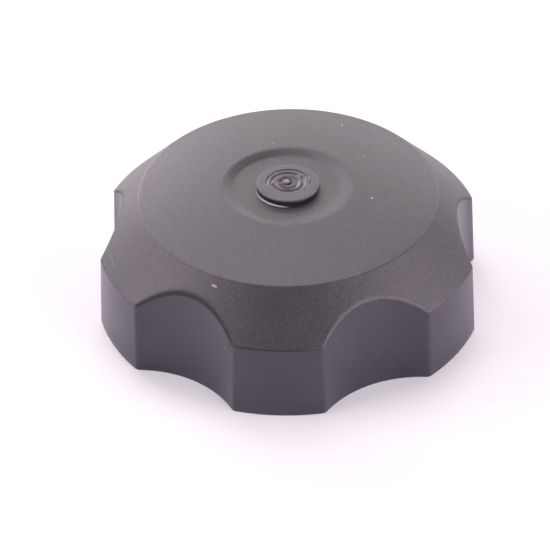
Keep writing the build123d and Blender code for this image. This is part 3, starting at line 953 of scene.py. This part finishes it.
def makeNeckCollar():
    angle = np.linspace(0, fullTurn, collar["columns"], endpoint=False)[None, :]
    crest, low, leadIn, top = collar["crest"], collar["low"], collar["leadIn"], collar["top"]
    recess, outer, threadTop = collar["recess"], collar["outer"], collar["threadTop"]
    outside = filledPath(roundedPath([
        (recess, top, 0), (outer, top, 0), (outer, low, collar["round"]),
        (crest + leadIn, low, collar["leadRound"]), (crest, low + leadIn, 0),
    ], arcSteps=4), collar["plainStep"])
    threadHeights = np.arange(low + leadIn + collar["rowStep"], threadTop, collar["rowStep"])
    thread = np.stack([np.full_like(threadHeights, crest), threadHeights], axis=-1)
    above = np.array([(crest, threadTop), (recess, threadTop), (recess, top - 0.3)])
    above = filledPath(above, collar["plainStep"])
    profile = np.concatenate([outside, thread, above])
    radius = np.broadcast_to(profile[:, :1], (len(profile), collar["columns"])).copy()
    # The lead-in's rows stay a little apart where the groove cuts them, so the wall never folds
    cut = profile[:, :1] < crest + collar["depth"] + 0.1
    grooved = crest + threadDepth(angle, profile[:, 1:]) + 0.05 * (profile[:, :1] - crest)
    radius = np.where(cut, np.maximum(radius, grooved), radius)
    grid = polarPoints(radius, angle, profile[:, 1:])
    faces = [loopFaces(*grid.shape[:2])]
    piece = makePiece("neckCollar", grid, faces, "shell", "moulded_black")
    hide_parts("cap_shell")
    print("collar made: rows", len(profile))


makeNeckCollar()

# Ribs from the collar to the lobes
rib = {"thickness": 1.6, "low": 2.0, "inner": 26.4, "outer": 36.1, "edge": 0.3, "bury": 1.3}


# One rib is a rounded U-section carried from the collar's wall to the lobe's wall. Its top follows
# the underside of the cone, a little way inside the wall above it
def makeShellRibs():
    half, edge = rib["thickness"] / 2, rib["edge"]
    turn = np.linspace(0, math.pi / 2, 5)
    across = np.concatenate([[-half, -half], -half + edge - edge * np.cos(turn)[1:], [0.0],
                             (half - edge + edge * np.cos(turn))[::-1][:-1], [half, half], [0.0]])
    drop = np.concatenate([[1.0, 0.15], edge - edge * np.sin(turn)[1:], [0.0],
                           (edge - edge * np.sin(turn))[::-1][:-1], [0.15, 1.0], [1.0]])
    # A drop is a share of the rib's height at its upper end, and a length in its rounded lower edge
    isShare = np.concatenate([[True, True], np.zeros(len(across) - 5, bool), [True, True, True]])
    along = np.linspace(rib["inner"], rib["outer"], 12)
    coneTop = skin["shoulderHeight"] + shoulderRadius - along - rib["bury"] * math.sqrt(2)
    top = np.minimum(coneTop, skin["crownHeight"] - 1.6)
    height = np.where(isShare[None, :], rib["low"] + edge + drop * (top[:, None] - rib["low"] - edge),
                      rib["low"] + drop)
    points, faces = [], []
    rows, columns = len(along), len(across)
    index = np.arange(rows * columns).reshape(rows, columns)
    for lobe in evenAngles(skin["lobes"], -90.0):
        lead, side = math.radians(lobe), math.radians(lobe + 90)
        x = along[:, None] * math.cos(lead) + across * math.cos(side)
        y = along[:, None] * math.sin(lead) + across * math.sin(side)
        start = len(points) * rows * columns
        points.append(np.stack([x, y, height], axis=-1).reshape(-1, 3))
        faces.append(ringQuads(index[:-1], index[1:]) + start)
        faces.append(np.stack([index[0][::-1], index[-1]]) + start)
    piece = makePiece("shellRibs", np.concatenate(points), faces, "shell", "moulded_black")
    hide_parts("cap_shell")
    print("ribs made:", skin["lobes"])


makeShellRibs()

# Centre rivet
rivet = {
    "stem": 3.2,
    "foot": 5.0,
    "footTop": 15.5,
    "core": 1.2,
    "flute": 0.7,
    "headLow": 25.062,
    "rimThickness": 0.42,
    "rimSpread": 0.2,
    "rimHeavySide": -25.0,
    "edgeRound": 0.16,
    "ridgeRadius": 5.5,
    "landRadius": 4.58,
    "crown": 0.05,
    "topGap": 0.03,
    "topLimit": 0.025,
    "ringStep": 0.05,
    "ringsTo": 5.0,
    "edgeRows": 14,
    "columns": 360,
}
# Rings that a worn turning tool left on the head. Each follows its radii, in millimetres, through its
# angles, in degrees. One side is a steep wall and the other a ramp, outward where the ramp is positive
headRings = [
    {"angles": (20, 60, 120, 160, 196), "radii": (4.36, 4.38, 4.36, 4.34, 4.30), "depth": 0.22,
     "wall": 0.09, "ramp": -0.6},
    {"angles": (-10, 3, 15), "radii": (4.36, 4.32, 4.28), "depth": 0.24, "wall": 0.12, "ramp": -0.4},
    {"angles": (-46, -36, -26), "radii": (4.1, 4.1, 4.1), "depth": 0.12, "wall": 0.12, "ramp": -0.4},
    {"angles": (50, 100, 150, 207), "radii": (3.08, 3.20, 3.36, 3.40), "depth": 0.26,
     "wall": 0.36, "ramp": -0.6},
    {"angles": (-178, -135, -90, -45, 0, 46), "radii": (2.86, 2.66, 2.52, 2.60, 2.78, 2.90), "depth": 0.28,
     "wall": 0.20, "ramp": 0.75},
    {"angles": (30, 70, 100, 124, 172), "radii": (0.80, 1.34, 1.68, 1.86, 1.92), "depth": 0.18,
     "wall": 0.16, "ramp": -0.5},
    {"angles": (-176, -120, -60, -20), "radii": (1.66, 1.5, 1.5, 1.6), "depth": 0.14,
     "wall": 0.15, "ramp": 0.45},
]
headPip = {"place": (-0.39, 0.50), "radius": 0.66, "height": 0.30, "basin": 0.20,
           "basinRadius": 2.3, "gleam": 0.55}
headPits = [
    {"place": (0.26, -0.16), "radii": (0.52, 0.24), "turn": 38.0, "depth": 0.42},
    {"place": (-0.62, -0.52), "radii": (0.55, 0.16), "turn": -14.0, "depth": 0.12},
]
# Small burrs that stand on the head's front edge: angle and size
edgeBurrs = [(-139.0, 0.10), (-128.0, 0.08), (-113.0, 0.15), (-104.0, 0.06)]


# Sum of the rings. Across a ring, the wall climbs out of its lowest line in an S, and the ramp in a
# longer S. Along it, both ends fade over a few degrees
def headRelief(radius, angle):
    relief = np.zeros(np.broadcast(radius, angle).shape)
    for ring in headRings:
        start, end = ring["angles"][0], ring["angles"][-1]
        swept = (np.degrees(angle) - start) % 360
        path = np.interp(swept, np.array(ring["angles"]) - start, ring["radii"])
        fade = min(14, (end - start) / 2)
        inside = easeBetween(swept, 0, fade) * easeBetween(-swept, start - end, start - end + fade)
        outward = (radius - path) * np.sign(ring["ramp"])
        across = np.where(outward < 0, easeBetween(outward, -ring["wall"], 0),
                          easeBetween(-outward, -abs(ring["ramp"]), 0))
        relief -= ring["depth"] * inside * across
    x, y = radius * np.cos(angle), radius * np.sin(angle)
    pipAway = np.hypot(x - headPip["place"][0], y - headPip["place"][1]) / headPip["radius"]
    relief -= headPip["basin"] * easeBetween(-radius, -headPip["basinRadius"], 0.5 - headPip["basinRadius"])
    relief += headPip["height"] * easeBetween(-pipAway, -1.3, -0.7)
    for pit in headPits:
        turn = math.radians(pit["turn"])
        along = (x - pit["place"][0]) * math.cos(turn) + (y - pit["place"][1]) * math.sin(turn)
        beside = (y - pit["place"][1]) * math.cos(turn) - (x - pit["place"][0]) * math.sin(turn)
        reach = (along / pit["radii"][0]) ** 2 + (beside / pit["radii"][1]) ** 2
        relief -= pit["depth"] * np.exp(-(reach ** 2))
    return relief


# Height that the burrs add near the head's edge: a bell about each angle
def burrHeight(radius, angle):
    height = np.zeros(np.broadcast(radius, angle).shape)
    for place, size in edgeBurrs:
        aside = ((np.degrees(angle) - place + 180) % 360 - 180) / 1.3
        height += size * np.exp(-aside ** 2) * np.exp(-(((radius - headRadius + 0.22) / 0.13) ** 2))
    return height


def makeRivetHead():
    angle = np.linspace(0, fullTurn, rivet["columns"], endpoint=False)[None, :]
    edge, rimLow = rivet["edgeRound"], headTop - rivet["rimThickness"]
    step, ringsTo = rivet["ringStep"], rivet["ringsTo"]
    edgeRadii = np.linspace(5.05, headRadius - edge, rivet["edgeRows"])
    topRadii = np.concatenate([np.arange(0.04, ringsTo, step), edgeRadii])[:, None]
    relief = headRelief(topRadii, angle)
    topHeights = headTop - rivet["topGap"] - rivet["crown"] * (topRadii / headRadius) ** 6
    raised = np.minimum(relief + burrHeight(topRadii, angle), rivet["topLimit"])
    topGrid = polarPoints(topRadii, angle, topHeights + raised)
    edgeHeight = float(topHeights[-1, 0])
    stem, core, foot = rivet["stem"], rivet["core"], rivet["foot"]
    headLow, footTop = rivet["headLow"], rivet["footTop"]
    body = filledPath(roundedPath([
        (headRadius - edge, edgeHeight, 0), (headRadius, edgeHeight, edge), (headRadius, rimLow, 0.1),
        (rivet["ridgeRadius"], rimLow - 0.1, 0), (rivet["landRadius"], headLow, 0),
        (stem, headLow, 0.1), (stem, flangeHigh, 0), (stem, footTop, 0.1),
        (foot, footTop, 0.15), (foot, footLow, 0.2), (core, footLow, 0.1),
        (core, flangeHigh - 0.4, 0), (0.1, flangeHigh, 0),
    ], arcSteps=6), 1.2)[2:]
    radius = np.broadcast_to(body[:, :1], (len(body), rivet["columns"]))
    third = fullTurn / 3
    off = stem * np.sin((angle + third / 2) % third - third / 2)
    flute = stem - np.sqrt(np.maximum(rivet["flute"] ** 2 - off ** 2, 0))
    onStem = (body[:, :1] > core + 0.1) & (body[:, :1] < stem + 0.05) & (body[:, 1:] > flangeHigh)
    radius = np.where(onStem, np.minimum(radius, flute), radius)
    heavy = rivet["rimSpread"] * np.cos(angle - math.radians(rivet["rimHeavySide"]))
    nearRim = easeBetween(body[:, 1:], headLow, rimLow)
    nearRim = nearRim * easeBetween(-body[:, 1:], -edgeHeight + 0.1, -rimLow)
    grid = np.concatenate([topGrid, polarPoints(radius, angle, body[:, 1:] - heavy * nearRim)])
    points, faces = poledGrid(grid)
    hollow, gleam = np.zeros(len(points)), np.zeros(len(points))
    # Painted shade in the rings' grooves
    hollow[:relief.size] = np.clip(-relief / 0.3 - 0.3, 0, 1).reshape(-1)
    # Painted highlight on the pip
    away = np.hypot(topGrid[:, :, 0] - headPip["place"][0], topGrid[:, :, 1] - headPip["place"][1])
    pipGlint = headPip["gleam"] * easeBetween(-away / headPip["radius"], -1.1, -0.5)
    gleam[:relief.size] = pipGlint.reshape(-1)
    # Painted shade on the underside of the rim
    underRows = (body[:, :1] < headRadius - 0.02) & (body[:, 1:] > headLow - 0.5)
    underRows = underRows & (body[:, 1:] < rimLow + 0.02)
    hollow[relief.size:-2] = np.broadcast_to(underRows, radius.shape).reshape(-1)
    piece = makePiece("rivetHead", points, faces, "carrier", "rivet_black", hollow=hollow, gleam=gleam)
    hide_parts("centre_rivet")
    print("rivet made: points", len(points))


makeRivetHead()

# Breather foam inside the seal carrier. Lengths are in millimetres
foam = {"voxel": 0.4, "inset": 0.14, "uneven": 0.09, "unevenSize": 2.6, "softening": 3, "fill": 0.8}


# The pad follows the solid that it stands for. It is remeshed in even voxels, softened, and drawn in
# along its normals by the inset and a sum of slow waves, so it stays inside the solid
def makeFoam():
    mesh = nodes["breather_foam"].data.copy()
    merging = bmesh.new()
    merging.from_mesh(mesh)
    bmesh.ops.remove_doubles(merging, verts=merging.verts, dist=0.01 * mm)
    merging.to_mesh(mesh)
    merging.free()
    pad = bpy.data.objects.new("breatherFoam", mesh)
    bpy.context.scene.collection.objects.link(pad)
    voxels = pad.modifiers.new("voxels", "REMESH")
    voxels.mode, voxels.voxel_size = "VOXEL", foam["voxel"] * mm
    softening = pad.modifiers.new("softening", "SMOOTH")
    softening.iterations = foam["softening"]
    shaped = bpy.data.meshes.new_from_object(pad.evaluated_get(bpy.context.evaluated_depsgraph_get()))
    pad.modifiers.clear()
    pad.data = shaped
    count = len(shaped.vertices)
    points, normals = np.empty(count * 3), np.empty(count * 3)
    shaped.vertices.foreach_get("co", points)
    shaped.vertex_normals.foreach_get("vector", normals)
    points, normals = points.reshape(-1, 3), normals.reshape(-1, 3)
    waves = np.sin(points / (foam["unevenSize"] * mm) * (1.0, 1.3, 0.8)).sum(axis=1)
    waves = waves + np.sin(points[:, [1, 2, 0]] / (foam["unevenSize"] * mm) * (2.1, 1.7, 2.4)).sum(axis=1)
    drawn = (foam["inset"] + foam["uneven"] * (1 + waves / 6)) * mm
    shaped.vertices.foreach_set("co", (points - normals * drawn[:, None]).reshape(-1))
    shaped.polygons.foreach_set("use_smooth", np.ones(len(shaped.polygons), bool))
    shaped.materials.clear()
    shaped.materials.append(finishes["foam"])
    shaped.update()
    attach(pad, "carrier")
    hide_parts("breather_foam")
    print("foam made: vertices", count)


makeFoam()

# Camera: where the cap's axis stands in the picture, and how far away the lens is
camera = {
    "elevation": 38.343,
    "azimuth": 3.931,
    "roll": -1.152,
    "distance": 465.4,
    "pixelFocal": 2353.3,
    "imageSide": 550,
    "axisPixel": (290.28, 288.78),
    "sensor": 36.0,
    "clip": (0.02, 20),
}


def makeCamera():
    lift, swing, roll = (math.radians(camera[key]) for key in ("elevation", "azimuth", "roll"))
    back = Vector((math.sin(swing) * math.cos(lift), -math.cos(swing) * math.cos(lift), math.sin(lift)))
    level = Vector((math.cos(swing), math.sin(swing), 0))
    upward = back.cross(level)
    right = math.cos(roll) * level + math.sin(roll) * upward
    up = back.cross(right)
    middle = camera["imageSide"] / 2
    aside = (camera["axisPixel"][0] - middle) / camera["pixelFocal"]
    below = (camera["axisPixel"][1] - middle) / camera["pixelFocal"]
    toward = (back + aside * right - below * up).normalized()
    right = (right - right.dot(toward) * toward).normalized()
    up = toward.cross(right)
    made = bpy.data.cameras.new("camera")
    made.sensor_width = camera["sensor"]
    made.lens = camera["pixelFocal"] / camera["imageSide"] * camera["sensor"]
    made.clip_start, made.clip_end = camera["clip"]
    holder = bpy.data.objects.new("camera", made)
    turned = Matrix((right, up, toward)).transposed().to_4x4()
    holder.matrix_world = Matrix.Translation(back * camera["distance"] * mm) @ turned
    bpy.context.scene.collection.objects.link(holder)
    bpy.context.scene.camera = holder


makeCamera()

# Floor, world and lamps
studio = {
    "floorSide": 6.0,
    "bounceColour": (0.50, 0.485, 0.50),
    "floorColour": (0.70, 0.68, 0.70),
    "floorGlow": 0.22,
    "glowColour": (1, 0.95, 1, 1),
    "farFloor": (0.4, 1.6),
    "surround": 0.6,
    "lampColour": (1.0, 0.93, 0.985),
    "lampDistance": 0.9,
    "lampAim": 0.012,
}
# Soft boxes round the cap: bearing from +X and height in degrees, width and depth in metres, power in
# watts. The last one stands below the floor, for looks at the underside
lamps = [
    {"name": "rearBox", "bearing": 90, "height": 18, "width": 0.7, "depth": 0.5, "power": 2.1},
    {"name": "rearLeftBox", "bearing": 128, "height": 18, "width": 0.6, "depth": 0.5, "power": 6.3},
    {"name": "leftBox", "bearing": 192, "height": 21, "width": 0.7, "depth": 0.5, "power": 7.4},
    {"name": "frontLeftBox", "bearing": 226, "height": 28, "width": 0.6, "depth": 0.5, "power": 1.5},
    {"name": "rightBox", "bearing": 339, "height": 18, "width": 1.1, "depth": 0.45, "power": 12.0},
    {"name": "rearRightBox", "bearing": 60, "height": 17, "width": 0.6, "depth": 0.45, "power": 2.8},
    {"name": "overheadBox", "bearing": 100, "height": 66, "width": 0.6, "depth": 0.6, "power": 4.1},
    {"name": "underBox", "bearing": 90, "height": -90, "width": 0.5, "depth": 0.5, "power": 3.5},
]


# 1 for rays from the camera, off gloss and through glass
def seenDirectly(tree, ray):
    mirrored = maths(tree, "MAXIMUM", ray.outputs["Is Glossy Ray"], ray.outputs["Is Transmission Ray"])
    return maths(tree, "MAXIMUM", ray.outputs["Is Camera Ray"], mirrored)


# Adds two shaders, or mixes them by the share of the second
def joinShaders(tree, kind, first, second, share=None):
    joined = node(tree, kind)
    if share is not None:
        link(tree, share, joined.inputs[0])
    for socket, shader in zip(list(joined.inputs)[-2:], (first, second)):
        link(tree, shader.outputs[0], socket)
    return joined


# Pale to the camera and to gloss, duller where it only bounces light. It lets shadow rays through, and
# camera rays from below, so that the lamp under it lights the underside
def makeFloor():
    half = studio["floorSide"] / 2
    mesh = bpy.data.meshes.new("floor")
    corners = [(-half, -half, 0), (half, -half, 0), (half, half, 0), (-half, half, 0)]
    mesh.from_pydata(corners, [], [(0, 1, 2, 3)])
    material = bpy.data.materials.new("floor")
    material.use_nodes = True
    tree = material.node_tree
    tree.nodes.clear()
    ray = node(tree, "ShaderNodeLightPath")
    matte = node(tree, "ShaderNodeBsdfDiffuse", Color=(*studio["bounceColour"], 1))
    pale = node(tree, "ShaderNodeBsdfDiffuse", Color=(*studio["floorColour"], 1))
    glow = node(tree, "ShaderNodeEmission", Color=studio["glowColour"])
    away = vectorMaths(tree, "LENGTH", surfacePlace(tree))
    far = maths(tree, "MULTIPLY", smoothStep(tree, away, *studio["farFloor"]), ray.outputs["Is Camera Ray"])
    link(tree, maths(tree, "ADD", far, studio["floorGlow"]), glow.inputs["Strength"])
    lit = joinShaders(tree, "ShaderNodeAddShader", pale, glow)
    upside = joinShaders(tree, "ShaderNodeMixShader", matte, lit, seenDirectly(tree, ray))
    clear = node(tree, "ShaderNodeBsdfTransparent")
    under = node(tree, "ShaderNodeNewGeometry").outputs["Backfacing"]
    fromBelow = maths(tree, "MULTIPLY", under, ray.outputs["Is Camera Ray"])
    passed = maths(tree, "MAXIMUM", fromBelow, ray.outputs["Is Shadow Ray"])
    both = joinShaders(tree, "ShaderNodeMixShader", upside, clear, passed)
    link(tree, both.outputs[0], node(tree, "ShaderNodeOutputMaterial").inputs["Surface"])
    mesh.materials.append(material)
    floor = bpy.data.objects.new("floor", mesh)
    bpy.context.scene.collection.objects.link(floor)


# The world gives no light of its own. It is white to the camera, and a duller surround to gloss and glass
def makeWorld():
    world = bpy.data.worlds.new("studio")
    bpy.context.scene.world = world
    world.use_nodes = True
    tree = world.node_tree
    tree.nodes.clear()
    ray = node(tree, "ShaderNodeLightPath")
    white = node(tree, "ShaderNodeBackground", Color=(1, 1, 1, 1))
    mirrored = maths(tree, "MULTIPLY", seenDirectly(tree, ray), studio["surround"])
    link(tree, maths(tree, "MAXIMUM", mirrored, ray.outputs["Is Camera Ray"]), white.inputs["Strength"])
    link(tree, white.outputs[0], node(tree, "ShaderNodeOutputWorld").inputs["Surface"])


def makeLamps():
    aim = Vector((0, 0, studio["lampAim"]))
    for lamp in lamps:
        bearing, height = math.radians(lamp["bearing"]), math.radians(lamp["height"])
        level = math.cos(height)
        outward = Vector((math.cos(bearing) * level, math.sin(bearing) * level, math.sin(height)))
        light = bpy.data.lights.new(lamp["name"], "AREA")
        light.shape = "RECTANGLE"
        light.size, light.size_y = lamp["width"], lamp["depth"]
        light.color = studio["lampColour"]
        light.energy = lamp["power"]
        holder = bpy.data.objects.new(lamp["name"], light)
        holder.location = outward * studio["lampDistance"]
        holder.rotation_euler = (aim - holder.location).to_track_quat("-Z", "Y").to_euler()
        holder.visible_camera = False
        bpy.context.scene.collection.objects.link(holder)


makeFloor()
makeWorld()
makeLamps()
bpy.context.scene.view_settings.view_transform = "Standard"
print("studio made")
